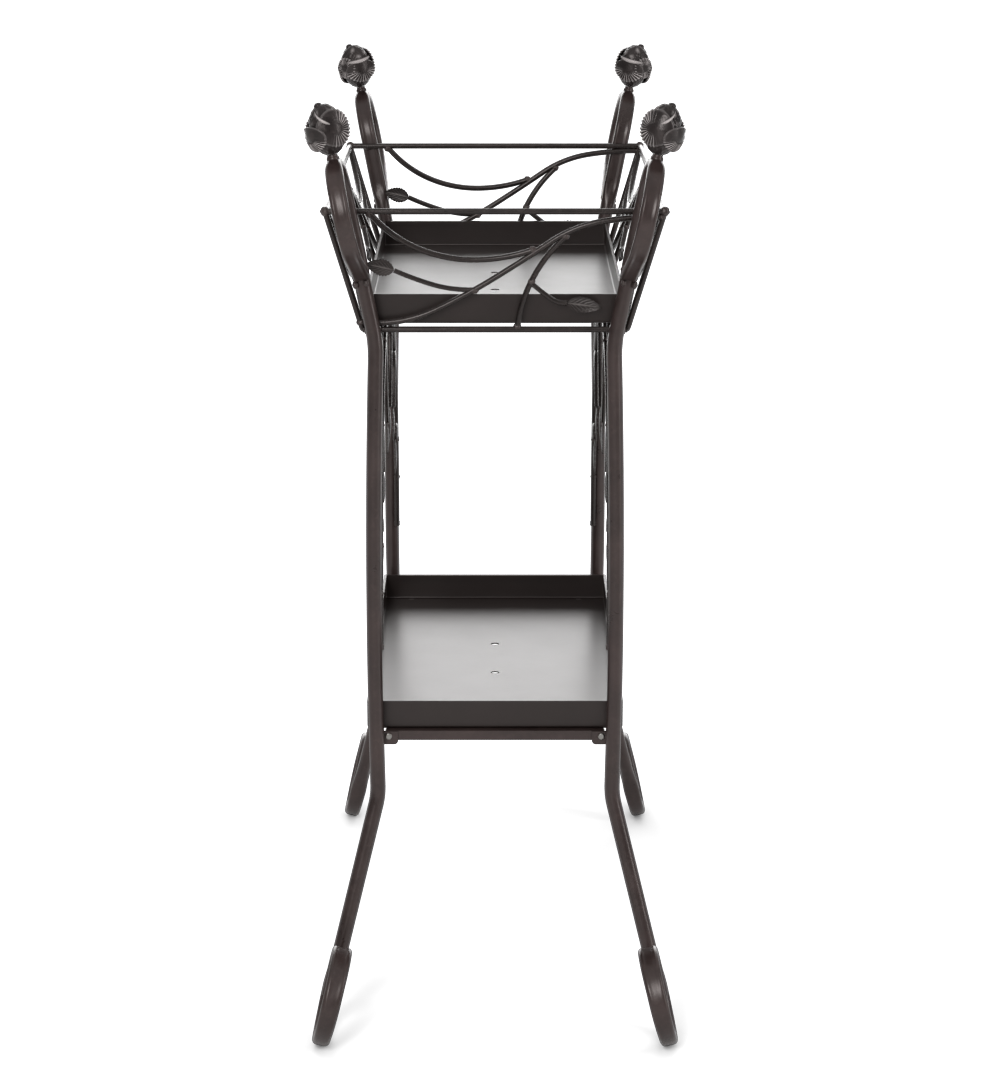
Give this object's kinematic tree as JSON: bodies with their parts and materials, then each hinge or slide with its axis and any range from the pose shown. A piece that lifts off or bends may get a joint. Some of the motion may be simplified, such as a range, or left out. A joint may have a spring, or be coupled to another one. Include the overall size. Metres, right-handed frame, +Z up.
{
  "type": "two-tier plant stand",
  "caption": "Tall narrow metal plant stand: two drain-hole trays, a flared wire basket with vine galleries round the upper one, looped legs with bud finials, and scroll feet.",
  "frame": {"origin": "centre of the footprint, on the floor the four scroll feet stand on", "axes": "+X across the short side, +Y along the long side, +Z up"},
  "size_m": [0.391, 0.8876, 0.9987],
  "materials": {
    "bronze_powder_coat": "satin dark bronze powder coat on steel tube, rod and stamped leaf",
    "tray_powder_coat": "semi-gloss dark bronze powder coat on folded sheet steel",
    "cast_bronze_coat": "cast bud under the same dark bronze powder coat",
    "zinc_plate": "bright zinc-plated steel"
  },
  "bodies": {
    "stand": {"leg_rear_right": "bronze_powder_coat", "bud_finial_rear_right": "cast_bronze_coat", "leg_rear_left": "bronze_powder_coat", "bud_finial_rear_left": "cast_bronze_coat", "leg_front_right": "bronze_powder_coat", "bud_finial_front_right": "cast_bronze_coat", "leg_front_left": "bronze_powder_coat", "bud_finial_front_left": "cast_bronze_coat", "finial_collars": "cast_bronze_coat", "finial_studs": "zinc_plate", "lower_tray": "tray_powder_coat", "tray_screws": "zinc_plate", "basket_front_bottom_rail": "bronze_powder_coat", "basket_front_top_rail": "bronze_powder_coat", "lower_tray_bar_front": "bronze_powder_coat", "front_vine_stem": "bronze_powder_coat", "front_vine_upper_branch": "bronze_powder_coat", "front_vine_left_branch": "bronze_powder_coat", "front_vine_lower_branch": "bronze_powder_coat", "front_vine_right_branch": "bronze_powder_coat", "front_vine_left_leaf": "bronze_powder_coat", "front_vine_right_leaf": "bronze_powder_coat", "basket_rear_bottom_rail": "bronze_powder_coat", "basket_rear_top_rail": "bronze_powder_coat", "lower_tray_bar_rear": "bronze_powder_coat", "rear_vine_stem": "bronze_powder_coat", "rear_vine_upper_branch": "bronze_powder_coat", "rear_vine_left_branch": "bronze_powder_coat", "rear_vine_lower_branch": "bronze_powder_coat", "rear_vine_right_branch": "bronze_powder_coat", "rear_vine_left_leaf": "bronze_powder_coat", "rear_vine_right_leaf": "bronze_powder_coat", "basket_left_bottom_rail": "bronze_powder_coat", "basket_left_top_rail": "bronze_powder_coat", "left_vine_stems": "bronze_powder_coat", "left_vine_branches": "bronze_powder_coat", "left_vine_leaves": "bronze_powder_coat", "left_apron_stems": "bronze_powder_coat", "left_apron_braces": "bronze_powder_coat", "left_apron_twigs": "bronze_powder_coat", "left_apron_leaves": "bronze_powder_coat", "basket_right_bottom_rail": "bronze_powder_coat", "basket_right_top_rail": "bronze_powder_coat", "right_vine_stems": "bronze_powder_coat", "right_vine_branches": "bronze_powder_coat", "right_vine_leaves": "bronze_powder_coat", "right_apron_stems": "bronze_powder_coat", "right_apron_braces": "bronze_powder_coat", "right_apron_twigs": "bronze_powder_coat", "right_apron_leaves": "bronze_powder_coat", "basket_corner_rods": "bronze_powder_coat", "tray_cross_bars": "bronze_powder_coat", "leg_tabs": "bronze_powder_coat", "tab_screws": "zinc_plate", "tab_nuts": "zinc_plate"},
    "upper_tray": {"upper_tray": "tray_powder_coat"}
  },
  "joints": [
    {"name": "upper_tray_lift", "type": "slide", "parent": "stand", "child": "upper_tray", "axis": [0, 0, 1], "range_m": [0, 0.092]}
  ]
}
